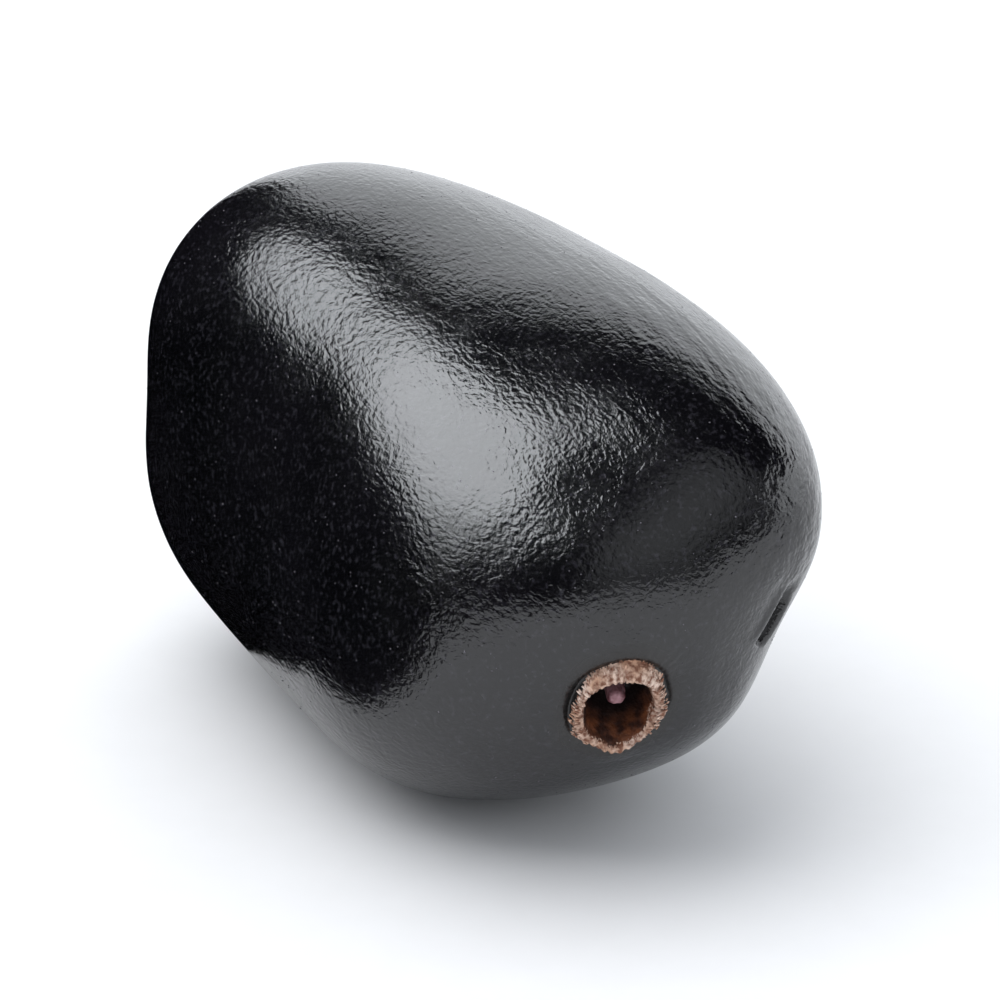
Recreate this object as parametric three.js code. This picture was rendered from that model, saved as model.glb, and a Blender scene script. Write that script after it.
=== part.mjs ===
// A ripe jamun, the fruit of Syzygium cumini: one plump, blunt-ended berry lying on its side.
// The calyx end carries a small open cup with a corky rim, the stem end a puckered corky scar.
// Millimetres, +Z up, +X along the fruit towards the calyx end, resting on the plane z = 0.

import * as THREE from 'three';

// Overall size
const LENGTH = 32;
const WIDTH = 20.5;
const CALYX_BLUNTNESS = 2.3; // 2 is a round end, higher is boxier
const STEM_BLUNTNESS = 3.8;
const TAPER = 0.04; // how much the fruit swells towards the calyx end

// How the fruit leans and bends
const BEND_SIDE = -1.3;
const BEND_UP = 0.3;
const SLANT_SIDE = 0.3; // slope of the calyx end across the fruit
const SLANT_UP = 0.09;
const NOSE_DOWN = THREE.MathUtils.degToRad(0.7);

// The section is not round: lobes round it, with their depth and turn in degrees at each end
const SECTION_LOBES = [
  { lobes: 2, stemDepth: 0.139, stemTurn: 99, calyxDepth: 0.163, calyxTurn: 42 },
  { lobes: 3, stemDepth: 0.027, stemTurn: -23, calyxDepth: 0.04, calyxTurn: 46 },
  { lobes: 4, stemDepth: 0.019, stemTurn: 41, calyxDepth: 0.049, calyxTurn: 40 },
];
const ROUND_WITHIN = 0.32; // the section is round this far out from the middle of each end
const LOBED_BEYOND = 0.72;

// The calyx cup, a little off the long axis
const CALYX_OFFSET = 0.25;
const CALYX_TURN = THREE.MathUtils.degToRad(242);
const MOUTH_RADIUS = 1.38;
const RIM_RADIUS = 2.1;
const RIM_HEIGHT = 0.3;
const CUP_DEPTH = 2.2;
const CUP_FLOOR_RADIUS = 1.0;
const STYLE_RADIUS = 0.34;
const STYLE_HEIGHT = 0.9;

// The stem scar
const SCAR_RADIUS = 1.95;
const SCAR_DEPTH = 0.5;
const PIT_RADIUS = 0.45;
const PIT_DEPTH = 0.5;
const PUCKER_RADIUS = 4.4;

// Soft hollows in the skin: where the middle is, how wide and how deep
const HOLLOWS = [
  { middle: new THREE.Vector3(16.2, 3.4, -0.6), width: 1.9, depth: 0.55 },
  { middle: new THREE.Vector3(16.0, 5.3, 1.0), width: 1.1, depth: 0.3 },
  { middle: new THREE.Vector3(-7.2, -8.9, -4.6), width: 2.4, depth: 0.35 },
  { middle: new THREE.Vector3(2.0, 9.2, 2.0), width: 4.5, depth: 0.4 },
];

// The skin gives way where the fruit rests
const RESTING_DEPTH = 0.22;

const SEGMENTS = 80;
const END_SCALE = (WIDTH / 2) * (1 + TAPER);

// How far the section stands out at one place, as a factor of its plain radius
function sectionScale(x, spread, around) {
  const towardsCalyx = (1 + x) / 2;
  let lobed = 0;
  for (const { lobes, stemDepth, stemTurn, calyxDepth, calyxTurn } of SECTION_LOBES) {
    const stemAngle = lobes * (around - THREE.MathUtils.degToRad(stemTurn));
    const calyxAngle = lobes * (around - THREE.MathUtils.degToRad(calyxTurn));
    lobed += (1 - towardsCalyx) * stemDepth * Math.cos(stemAngle);
    lobed += towardsCalyx * calyxDepth * Math.cos(calyxAngle);
  }
  return 1 + lobed * THREE.MathUtils.smoothstep(spread, ROUND_WITHIN, LOBED_BEYOND);
}

// A point of the smooth skin. end is 1 on the calyx half and -1 on the stem half; across and up
// run from 0 at the middle of that end to 1 at the fruit's girth.
function skinPoint(end, across, up) {
  const spread = Math.min(Math.hypot(across, up), 1);
  const around = Math.atan2(up, across);
  const bluntness = end > 0 ? CALYX_BLUNTNESS : STEM_BLUNTNESS;
  const x = end * (1 - spread ** bluntness) ** (1 / bluntness);
  const radius = (WIDTH / 2) * spread * (1 + TAPER * x) * sectionScale(x, spread, around);
  const point = new THREE.Vector3((LENGTH / 2) * x, radius * Math.cos(around), radius * Math.sin(around));
  point.x += THREE.MathUtils.smoothstep(x, 0, 1) * (SLANT_SIDE * point.y + SLANT_UP * point.z);
  point.y += BEND_SIDE * x * x;
  point.z += BEND_UP * x * x;
  return point.applyAxisAngle(new THREE.Vector3(0, 1, 0), NOSE_DOWN);
}

// The outward direction of the skin near the middle of an end
function skinNormal(end, across, up) {
  const step = 0.02;
  const alongAcross = skinPoint(end, across + step, up).sub(skinPoint(end, across - step, up));
  const alongUp = skinPoint(end, across, up + step).sub(skinPoint(end, across, up - step));
  return alongAcross.cross(alongUp).normalize().multiplyScalar(end);
}

// Stations run from the middle of the calyx cup over the skin to the middle of the stem scar:
// how far each lies from the middle of its end, and how far it is lifted off the smooth skin.
function cupStations() {
  const station = (radius, lift) => ({ end: 1, spread: radius / END_SCALE, lift });
  return [
    station(0, STYLE_HEIGHT - CUP_DEPTH),
    station(STYLE_RADIUS * 0.6, STYLE_HEIGHT * 0.8 - CUP_DEPTH),
    station(STYLE_RADIUS, 0.12 - CUP_DEPTH),
    station(CUP_FLOOR_RADIUS, -CUP_DEPTH),
    station(MOUTH_RADIUS * 0.92, -CUP_DEPTH / 2),
    station(MOUTH_RADIUS, 0),
    station(MOUTH_RADIUS + 0.1, RIM_HEIGHT * 0.8),
    station((MOUTH_RADIUS + RIM_RADIUS) / 2, RIM_HEIGHT),
    station(RIM_RADIUS - 0.1, RIM_HEIGHT * 0.7),
    station(RIM_RADIUS, 0.05),
    station(RIM_RADIUS + 0.5, -0.06),
    station(RIM_RADIUS + 1.1, 0),
  ];
}

function skinStations() {
  const stations = [];
  const firstAngle = 0.3;
  const lastAngle = Math.PI - 0.13;
  const count = 32;
  for (let i = 0; i <= count; i += 1) {
    const angle = firstAngle + ((lastAngle - firstAngle) * i) / count;
    const end = angle < Math.PI / 2 ? 1 : -1;
    const bluntness = end > 0 ? CALYX_BLUNTNESS : STEM_BLUNTNESS;
    stations.push({ end, spread: Math.sin(angle) ** (2 / bluntness), lift: 0 });
  }
  return stations.filter(({ end, spread }) => spread * END_SCALE > (end > 0 ? RIM_RADIUS + 1.5 : PUCKER_RADIUS));
}

function scarStations() {
  const station = (radius, lift) => ({ end: -1, spread: radius / END_SCALE, lift });
  return [
    station(PUCKER_RADIUS, 0),
    station(PUCKER_RADIUS * 0.8, -SCAR_DEPTH * 0.25),
    station(SCAR_RADIUS + 0.7, -SCAR_DEPTH * 0.7),
    station(SCAR_RADIUS + 0.1, -SCAR_DEPTH - 0.1),
    station(SCAR_RADIUS - 0.15, -SCAR_DEPTH + 0.15),
    station(SCAR_RADIUS * 0.6, -SCAR_DEPTH),
    station(PIT_RADIUS, -SCAR_DEPTH - 0.05),
    station(PIT_RADIUS * 0.6, -SCAR_DEPTH - PIT_DEPTH),
    station(0, -SCAR_DEPTH - PIT_DEPTH),
  ];
}

// Where one station's ring passes at an angle round the fruit
function surfacePoint({ end, spread, lift }, around) {
  const offset = end > 0 ? CALYX_OFFSET * (1 - spread ** 2) ** 2 : 0;
  const across = spread * Math.cos(around) + offset * Math.cos(CALYX_TURN);
  const up = spread * Math.sin(around) + offset * Math.sin(CALYX_TURN);
  const point = skinPoint(end, across, up);
  if (lift !== 0) {
    point.addScaledVector(skinNormal(end, across, up), lift);
  }
  for (const { middle, width, depth } of HOLLOWS) {
    const press = depth * Math.exp(-point.distanceToSquared(middle) / (2 * width ** 2));
    point.addScaledVector(middle.clone().normalize(), -press);
  }
  return point;
}

// A lathe gives the closed rings, and each of its points then moves to its place on the fruit.
// The rings are followed clockwise as seen from the calyx end, which turns the faces outwards.
function fruitGeometry() {
  const stations = [...cupStations(), ...skinStations(), ...scarStations()];
  const profile = stations.map(({ end, spread }, i) => new THREE.Vector2(spread, end * (1 - spread) - i * 1e-3));
  const geometry = new THREE.LatheGeometry(profile, SEGMENTS);
  const position = geometry.getAttribute('position');
  for (let ring = 0; ring <= SEGMENTS; ring += 1) {
    const around = -((ring % SEGMENTS) / SEGMENTS) * 2 * Math.PI;
    stations.forEach((station, i) => {
      const { x, y, z } = surfacePoint(station, around);
      position.setXYZ(ring * stations.length + i, x, y, z);
    });
  }
  return geometry;
}

// Stand the fruit on z = 0 with a small flat where it rests, and centre it over the origin
function settle(geometry) {
  const position = geometry.getAttribute('position');
  geometry.computeBoundingBox();
  const { min, max } = geometry.boundingBox;
  const floor = min.z + RESTING_DEPTH;
  for (let i = 0; i < position.count; i += 1) {
    const x = position.getX(i) - (min.x + max.x) / 2;
    const y = position.getY(i) - (min.y + max.y) / 2;
    const z = Math.max(position.getZ(i) - floor, 0);
    position.setXYZ(i, x, y, z);
  }
  geometry.computeVertexNormals();
  return geometry;
}

const skin = new THREE.MeshStandardMaterial({ color: 0x1b181d, roughness: 0.3, metalness: 0 });
const fruit = new THREE.Mesh(settle(fruitGeometry()), skin);
fruit.name = 'fruit';

const jamun = new THREE.Group();
jamun.name = 'jamun';
jamun.add(fruit);

export default jamun;
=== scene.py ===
"""A ripe jamun lying on its side: waxy near-black skin, corky calyx cup and stem scar."""

import math

import bpy
import numpy as np
from mathutils import Matrix, Vector


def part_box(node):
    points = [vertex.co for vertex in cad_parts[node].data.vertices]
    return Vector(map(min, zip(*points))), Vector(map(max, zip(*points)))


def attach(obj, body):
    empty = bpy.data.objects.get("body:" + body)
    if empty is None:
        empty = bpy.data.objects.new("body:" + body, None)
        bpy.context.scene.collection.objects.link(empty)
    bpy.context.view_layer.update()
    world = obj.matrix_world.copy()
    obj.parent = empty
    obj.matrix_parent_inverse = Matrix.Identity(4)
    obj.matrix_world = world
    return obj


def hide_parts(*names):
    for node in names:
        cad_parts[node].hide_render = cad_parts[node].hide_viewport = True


bl_info = {
    "name": "Jamun",
    "version": (1, 0, 0),
    "blender": (4, 5, 0),
    "location": "View3D > Sidebar > Jamun",
    "description": "Builds a ripe jamun fruit and a small studio for it",
    "category": "Object",
}

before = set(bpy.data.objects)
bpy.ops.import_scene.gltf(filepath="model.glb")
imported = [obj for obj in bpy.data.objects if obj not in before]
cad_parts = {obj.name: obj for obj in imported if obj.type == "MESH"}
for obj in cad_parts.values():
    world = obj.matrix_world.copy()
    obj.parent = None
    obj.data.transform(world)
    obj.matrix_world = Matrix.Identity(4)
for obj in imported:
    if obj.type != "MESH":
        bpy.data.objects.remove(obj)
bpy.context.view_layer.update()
FRUIT_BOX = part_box("fruit")
MM = 0.001

# The plain form, as in the solid: millimetres, long axis on X, calyx end at +X
LENGTH = 32.0
WIDTH = 20.5
CALYX_BLUNTNESS = 2.3
STEM_BLUNTNESS = 3.8
TAPER = 0.04
BEND_SIDE = -1.3
BEND_UP = 0.3
SLANT_SIDE = 0.3
SLANT_UP = 0.09
NOSE_DOWN = math.radians(0.7)
ROUND_WITHIN = 0.32
LOBED_BEYOND = 0.72
CALYX_OFFSET = 0.25
CALYX_TURN = math.radians(242)
RESTING_DEPTH = 0.22
END_SCALE = WIDTH / 2 * (1 + TAPER)

# Lobes of the section: how many, then depth and turn in degrees at the stem end and at the calyx end
SECTION_LOBES = (
    (2, 0.139, 99, 0.163, 42),
    (3, 0.027, -23, 0.040, 46),
    (4, 0.019, 41, 0.049, 40),
)

# Soft hollows: middle, width and depth
HOLLOWS = (
    ((16.2, 3.4, -0.6), 1.9, 0.55),
    ((16.0, 5.3, 1.0), 1.1, 0.30),
    ((-7.2, -8.9, -4.6), 2.4, 0.35),
    ((2.0, 9.2, 2.0), 4.5, 0.40),
)

# A short crack in the skin beside the calyx end, as points along it
CRACK_LINE = ((15.6, 5.5, 1.2), (15.8, 5.0, 0.55), (16.0, 4.5, -0.2), (16.1, 4.0, -0.9))


# Painted shade: the near-black colour laid into the crack's slit
CRACK_PAINTED_SHADE = (0.001, 0.001, 0.001, 1)
CALYX_HALF_MIDDLE = (7.0, 0, 0)

# The studio, as directions from the fruit: across to the right, towards the camera, and up
SOFTBOX_FACING = (-0.70, 0.0, 0.62)
SOFTBOX_BRIGHTEST = (-0.48, 0.02, 0.88)
SOFTBOX_CORNERS = (
    (-0.78, -0.38, 0.46),
    (-0.48, -0.53, 0.70),
    (-0.16, -0.06, 0.98),
    (-0.42, 0.44, 0.79),
    (-0.90, 0.42, 0.17),
)
GREY_FACING = (0.35, 0.65, 0.6)
GREY_CORNERS = (
    (-0.15, 0.36, 0.92),
    (0.36, 0.05, 0.93),
    (0.90, 0.35, 0.20),
    (0.40, 0.91, 0.03),
    (-0.15, 0.98, 0.10),
)

# The black card beside the fruit: across, towards the camera, and height of each post in millimetres
CARD_POSTS = (
    (-48, 37, 16),
    (-19.4, 19, 16.5),
    (-12.5, 10.5, 17),
    (-15, 2.6, 18),
    (-19, -12, 26),
    (-14, -34, 34),
)
# Painted shade: a black sheet on the floor, seen only in the gloss; across and towards the camera of each
# corner, in millimetres
PAINTED_SHADE_SHEET = ((-48, 6), (-13, 0), (-9, -8), (-8, -34), (-40, -34))


# ---------------------------------------------------------------- small helpers


def colour(hex_code):
    """An sRGB hex colour as the linear colour Blender works in."""
    parts = [int(hex_code[i : i + 2], 16) / 255 for i in (1, 3, 5)]
    linear = [c / 12.92 if c <= 0.04045 else ((c + 0.055) / 1.055) ** 2.4 for c in parts]
    return (*linear, 1.0)


def add_node(tree, kind, inputs=None, **settings):
    """Adds a node. Inputs are values, or sockets to link from; settings are the node's properties."""
    node = tree.nodes.new(kind)
    for name, value in settings.items():
        setattr(node, name, value)
    for key, value in (inputs or {}).items():
        if isinstance(value, bpy.types.NodeSocket):
            tree.links.new(value, node.inputs[key])
        else:
            node.inputs[key].default_value = value
    return node


def smooth(values, low, high):
    """0 below low, 1 above high, and a soft step between."""
    t = np.clip((values - low) / (high - low), 0, 1)
    return t * t * (3 - 2 * t)


def band(values, rise_start, rise_end, fall_start, fall_end):
    """1 in a band of values, with soft steps up to it and down from it."""
    return smooth(values, rise_start, rise_end) * (1 - smooth(values, fall_start, fall_end))


def new_material(name):
    """An empty material with its output node, and the tree to fill."""
    material = bpy.data.materials.new(name)
    material.use_nodes = True
    tree = material.node_tree
    tree.nodes.clear()
    return material, tree


def finish_material(tree, shader):
    """Sends the shader to the material's output."""
    add_node(tree, "ShaderNodeOutputMaterial", {"Surface": shader.outputs[0]})


def mix_colours(tree, factor, low, high):
    """The colour socket of a mix between two colours or colour sockets."""
    node = add_node(
        tree, "ShaderNodeMix", {0: factor, 6: low, 7: high}, data_type="RGBA", clamp_factor=True
    )
    return node.outputs[2]


def math_node(tree, operation, *values):
    """The result socket of a maths node on these values or sockets."""
    return add_node(tree, "ShaderNodeMath", dict(enumerate(values)), operation=operation).outputs[0]


def settings():
    """The sizes and colours a user may change in the panel."""
    return bpy.context.scene.jamun


# ---------------------------------------------------------------- the fruit's form


def section_scale(x, spread, around):
    """How far the section stands out, as a factor of its plain radius."""
    towards_calyx = (1 + x) / 2
    lobed = 0
    for lobes, stem_depth, stem_turn, calyx_depth, calyx_turn in SECTION_LOBES:
        stem_wave = stem_depth * np.cos(lobes * (around - math.radians(stem_turn)))
        calyx_wave = calyx_depth * np.cos(lobes * (around - math.radians(calyx_turn)))
        lobed = lobed + (1 - towards_calyx) * stem_wave + towards_calyx * calyx_wave
    return 1 + lobed * smooth(spread, ROUND_WITHIN, LOBED_BEYOND)


def skin_points(end, across, up):
    """Points of the plain skin, in millimetres. end is 1 on the calyx half and -1 on the stem half."""
    spread = np.minimum(np.hypot(across, up), 1)
    around = np.arctan2(up, across)
    bluntness = np.where(end > 0, CALYX_BLUNTNESS, STEM_BLUNTNESS)
    x = end * (1 - spread**bluntness) ** (1 / bluntness)
    radius = WIDTH / 2 * spread * (1 + TAPER * x) * section_scale(x, spread, around)
    y = radius * np.cos(around)
    z = radius * np.sin(around)
    long = LENGTH / 2 * x + smooth(x, 0, 1) * (SLANT_SIDE * y + SLANT_UP * z)
    y = y + BEND_SIDE * x * x
    z = z + BEND_UP * x * x
    c, s = math.cos(NOSE_DOWN), math.sin(NOSE_DOWN)
    return np.stack([long * c + z * s, y, z * c - long * s], -1)


def end_normals(end, across, up):
    """The outward direction of the plain skin near the middle of an end."""
    step = 0.02
    one = skin_points(end, across + step, up) - skin_points(end, across - step, up)
    two = skin_points(end, across, up + step) - skin_points(end, across, up - step)
    normal = np.cross(one, two) * end[..., None]
    return normal / np.linalg.norm(normal, axis=-1, keepdims=True)


def rounded(path, step):
    """A smooth curve through points, resampled about every step."""
    path = np.array(path, float)
    padded = np.vstack([2 * path[0] - path[1], path, 2 * path[-1] - path[-2]])
    dense = []
    for a, b, c, d in zip(padded, padded[1:], padded[2:], padded[3:]):
        t = np.linspace(0, 1, 24, endpoint=False)[:, None]
        spline = 2 * b + (c - a) * t + (2 * a - 5 * b + 4 * c - d) * t**2 + (3 * b - a - 3 * c + d) * t**3
        dense.append(spline / 2)
    dense = np.vstack([*dense, path[-1:]])
    walked = np.r_[0, np.cumsum(np.linalg.norm(np.diff(dense, axis=0), axis=1))]
    wanted = np.linspace(0, walked[-1], max(int(walked[-1] / step), 2) + 1)
    return np.stack([np.interp(wanted, walked, dense[:, k]) for k in range(path.shape[1])], -1)


def calyx_profile(calyx):
    """Radius and lift from the middle of the cup's floor, up its wall and over the rim to the skin."""
    mouth, rim = calyx.mouth_radius / MM, calyx.rim_radius / MM
    height, depth = calyx.rim_height / MM, calyx.cup_depth / MM
    path = [
        (0, -depth),
        (mouth * 0.45, -depth * 0.97),
        (mouth * 0.74, -depth * 0.86),
        (mouth * 0.9, -depth * 0.5),
        (mouth * 0.97, -depth * 0.15),
        (mouth * 1.02, height * 0.5),
        (mouth * 1.14, height * 0.95),
        (mouth * 0.55 + rim * 0.45, height * 0.95),
        (rim * 0.95, height * 0.6),
        (rim * 1.02, -0.04),
        (rim * 1.12, -0.1),
        (rim * 1.35, -0.05),
        (rim * 1.7, 0),
    ]
    return rounded(path, 0.055)


def scar_profile(scar):
    """Radius and lift from the skin round the stem scar down into its pit."""
    radius, depth, pucker = scar.radius / MM, scar.depth / MM, scar.pucker_radius / MM
    path = [
        (pucker, 0),
        (pucker * 0.82, -depth * 0.2),
        (radius + 0.8, -depth * 0.6),
        (radius + 0.22, -depth - 0.12),
        (radius + 0.02, -depth - 0.14),
        (radius - 0.12, -depth + 0.1),
        (radius * 0.8, -depth + 0.12),
        (radius * 0.4, -depth + 0.04),
        (0, -depth),
    ]
    return rounded(path, 0.085)


def stations(shape, calyx, scar):
    """Every ring of the skin: its end, how far it spreads from the middle of that end, and its lift."""
    cup = calyx_profile(calyx)
    hollow = scar_profile(scar)
    end, spread = even_rings(shape.rings, cup[-1, 0] / END_SCALE, hollow[0, 0] / END_SCALE)
    ends = np.r_[np.ones(len(cup)), end, -np.ones(len(hollow))]
    spreads = np.r_[cup[:, 0] / END_SCALE, spread, hollow[:, 0] / END_SCALE]
    lifts = np.r_[cup[:, 1], np.zeros(len(end)), hollow[:, 1]]
    return ends, spreads, lifts


def even_rings(count, first_spread, last_spread):
    """Ends and spreads of rings at even steps along the skin, a little closer at the calyx end."""
    angle = np.linspace(0.02, math.pi - 0.02, 4000)
    side = np.where(angle < math.pi / 2, 1.0, -1.0)
    blunt = np.where(side > 0, CALYX_BLUNTNESS, STEM_BLUNTNESS)
    spread = np.sin(angle) ** (2 / blunt)
    x = side * (1 - np.minimum(spread, 1) ** blunt) ** (1 / blunt)
    walked = np.r_[0, np.cumsum(np.hypot(np.diff(x * LENGTH / 2), np.diff(spread * WIDTH / 2)))]
    between = (side < 0) | (spread > first_spread)
    between &= (side > 0) | (spread > last_spread)
    low, high = walked[between][0], walked[between][-1]
    t = np.linspace(0, 1, count + 2)[1:-1]
    wanted = low + (high - low) * (0.6 * t + 0.4 * t**2)
    ends = np.where(np.interp(wanted, walked, side) > 0, 1.0, -1.0)
    return ends, np.interp(wanted, walked, spread)


def radial_ridges(turn, radius, lowest, highest, seed):
    """Irregular ridges that run outwards from a scar, between -1 and 1."""
    rng = np.random.default_rng(seed)
    total = 0
    for count in rng.integers(lowest, highest, 14):
        total = total + np.cos(count * turn + rng.uniform(0, 6.28) + rng.uniform(-1.2, 1.2) * radius)
    return total / 5.3


def rim_wave(turn):
    """How the rim strays from a circle, as a factor: taller than wide, with five blunt corners."""
    return -0.085 * np.cos(2 * turn) + 0.014 * np.cos(5 * turn + 0.6) + 0.01 * np.cos(8 * turn)


def distance_to_line(points, line):
    """How far each point is from a line of joined points, and how far along the line it is nearest."""
    best = np.full(points.shape[:-1], 1e9)
    where = np.zeros(points.shape[:-1])
    line = np.array(line, float)
    for i, (a, b) in enumerate(zip(line, line[1:])):
        along = np.clip(((points - a) @ (b - a)) / ((b - a) @ (b - a)), 0, 1)
        far = np.linalg.norm(points - (a + along[..., None] * (b - a)), axis=-1)
        where = np.where(far < best, (i + along) / (len(line) - 1), where)
        best = np.minimum(best, far)
    return best, where


def press_hollows(points):
    """Presses the soft hollows into the skin, towards the middle of the fruit."""
    for middle, width, depth in HOLLOWS:
        middle = np.array(middle)
        press = depth * np.exp(-((points - middle) ** 2).sum(-1) / (2 * width**2))
        points = points - press[..., None] * middle / np.linalg.norm(middle)
    return points


def fruit_surface(end, spread, lift, turn, calyx, scar):
    """Where points of the fruit lie, and the masks that the materials read."""
    offset = np.where(end > 0, CALYX_OFFSET * (1 - spread**2) ** 2, 0)
    across = spread * np.cos(turn) + offset * math.cos(CALYX_TURN)
    up = spread * np.sin(turn) + offset * math.sin(CALYX_TURN)
    points = skin_points(end, across, up)
    near_end = (spread < 0.75)[..., None]
    normals = np.where(near_end, end_normals(end, across, up), 0)
    radius = spread * END_SCALE
    rim = calyx.rim_radius / MM
    on_calyx = end > 0

    # the rim is uneven: it bulges in blunt points and is cut by short radial notches
    wavy = rim_wave(turn)
    rim_zone = np.where(on_calyx, band(radius, rim * 0.5, rim * 0.8, rim, rim * 1.9), 0)
    notch = radial_ridges(turn, radius, 22, 58, 3)
    rim_top = np.where(on_calyx, np.exp(-(((radius - rim * 0.86) / (rim * 0.17)) ** 2)), 0)
    lift = lift + 0.085 * notch * rim_top + 0.5 * wavy * rim_top
    # a narrow gutter where the rim meets the skin
    lift = lift - np.where(on_calyx, 0.16 * np.exp(-(((radius - rim * 1.05) / (rim * 0.07)) ** 2)), 0)

    # ridges fade outwards from both ends
    calyx_ridges = radial_ridges(turn, radius, 24, 60, 5)
    calyx_zone = np.where(on_calyx, band(radius, rim, rim * 1.15, rim * 1.2, rim * 2.2), 0)
    edge = scar.radius / MM
    scar_ridges = radial_ridges(turn, radius, 26, 78, 9)
    scar_zone = np.where(on_calyx, 0, band(radius, edge * 1.02, edge * 1.25, edge * 1.3, 5.6))
    lift = lift + calyx.pucker / MM * calyx_ridges * calyx_zone
    lift = lift + scar.wrinkle_height / MM * scar_ridges * scar_zone

    # a small pit a little off the middle of the scar
    side = radius * np.cos(turn) - 0.75
    rise = radius * np.sin(turn) + 0.45
    pit_far = np.hypot(side, rise) / (scar.pit_radius / MM)
    bowl = 0.55 * np.exp(-(pit_far**4))
    lip = 0.14 * np.exp(-(((pit_far - 1.35) / 0.3) ** 2))
    lift = lift - np.where(on_calyx, 0, bowl - lip)

    points = points + normals * lift[..., None]
    spread_out = 1 + np.where(on_calyx, wavy * rim_zone, 0)
    middle = points[0].mean(axis=0)
    spread_points = middle + (points - middle) * spread_out[..., None]
    points = np.where(rim_zone[..., None] > 0, spread_points, points)

    # the crack is measured over the skin, as directions from a point inside the calyx half
    inside = np.array(CALYX_HALF_MIDDLE)
    reach = np.linalg.norm(points - inside, axis=-1)
    outward = (points - inside) / reach[..., None]
    crack = np.array(CRACK_LINE) - inside
    far, along = distance_to_line(outward, crack / np.linalg.norm(crack, axis=1, keepdims=True))
    far = far * reach
    points = press_hollows(points)
    gap = np.sin(np.clip(along, 0.02, 1) * math.pi) ** 0.5
    slit = 0.5 * np.exp(-((far / 0.24) ** 2))
    lips = 0.15 * np.exp(-(((far - 0.6) / 0.26) ** 2))
    points = points - outward * (gap * (slit - lips))[..., None]

    masks = {
        "calyx_mm": np.where(on_calyx, radius / (1 + wavy), 99.0),
        "scar_mm": np.where(on_calyx, 99.0, radius),
        "cup_mm": np.where(on_calyx & (radius < rim), -lift, -9.0),
        "pit": np.where(~on_calyx, np.exp(-((pit_far / 0.8) ** 4)), 0.0),
        "crack": gap * np.exp(-((far / 0.22) ** 2)),
        "ridge": scar_zone * scar_ridges,
    }
    return points, masks


def into_frame(points, low, high):
    """Millimetre points to the row frame, filling the solid's box and standing on z = 0."""
    cad_low, cad_high = (np.array(corner) for corner in FRUIT_BOX)
    floor = np.array([low[0], low[1], low[2] + RESTING_DEPTH])
    scale = (cad_high - cad_low) / (high - floor)
    return (points - floor) * scale + cad_low


def closed_rings(name, rings):
    """A closed mesh from rings of points; the first and last ring shrink to their middle point."""
    count, around = rings.shape[:2]
    inner = rings[1:-1].reshape(-1, 3)
    points = np.vstack([inner, rings[0].mean(0), rings[-1].mean(0)])
    i = np.arange(count - 3)[:, None] * around
    j = np.arange(around)[None]
    k = (j + 1) % around
    quads = np.stack([i + j, i + around + j, i + around + k, i + k], -1).reshape(-1, 4)
    first, last, base = len(inner), len(inner) + 1, (count - 3) * around
    j, k = j[0], k[0]
    faces = quads.tolist()
    faces += np.stack([j, k, np.full(around, first)], -1).tolist()
    faces += np.stack([base + k, base + j, np.full(around, last)], -1).tolist()
    mesh = bpy.data.meshes.new(name)
    mesh.from_pydata(points.tolist(), [], faces)
    mesh.update()
    mesh.shade_smooth()
    return mesh


def ring_values(values):
    """The same order of points as closed_rings, for one value a point."""
    return np.r_[values[1:-1].ravel(), values[0].mean(), values[-1].mean()]


def new_object(name, mesh):
    """A new object in the scene that holds this mesh, lamp or camera."""
    obj = bpy.data.objects.new(name, mesh)
    bpy.context.scene.collection.objects.link(obj)
    return obj


def apply_tree(obj, tree, values):
    """Runs a geometry node tree on an object, keeps the result as its mesh and takes the modifier off."""
    modifier = obj.modifiers.new(tree.name, "NODES")
    modifier.node_group = tree
    for item in tree.interface.items_tree:
        if item.item_type == "SOCKET" and item.in_out == "INPUT" and item.name in values:
            modifier[item.identifier] = values[item.name]
    obj.update_tag()
    bpy.context.view_layer.update()
    graph = bpy.context.evaluated_depsgraph_get()
    made = bpy.data.meshes.new_from_object(
        obj.evaluated_get(graph), preserve_all_data_layers=True, depsgraph=graph
    )
    obj.modifiers.remove(modifier)
    old, obj.data = obj.data, made
    made.name = obj.name
    bpy.data.meshes.remove(old)
    return obj


def keep(obj):
    """A finished piece of the fruit: it rides on the fruit's body and stands for its solid."""
    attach(obj, "root")
    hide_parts("fruit")


# ---------------------------------------------------------------- geometry node trees


def geometry_tree(name, inputs):
    """A geometry node tree with named inputs, and its input and output nodes."""
    tree = bpy.data.node_groups.new(name, "GeometryNodeTree")
    tree.interface.new_socket("Geometry", in_out="INPUT", socket_type="NodeSocketGeometry")
    tree.interface.new_socket("Geometry", in_out="OUTPUT", socket_type="NodeSocketGeometry")
    for label, (kind, default) in inputs.items():
        socket = tree.interface.new_socket(label, in_out="INPUT", socket_type=kind)
        if default is not None:
            socket.default_value = default
    return tree, tree.nodes.new("NodeGroupInput"), tree.nodes.new("NodeGroupOutput")


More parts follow.
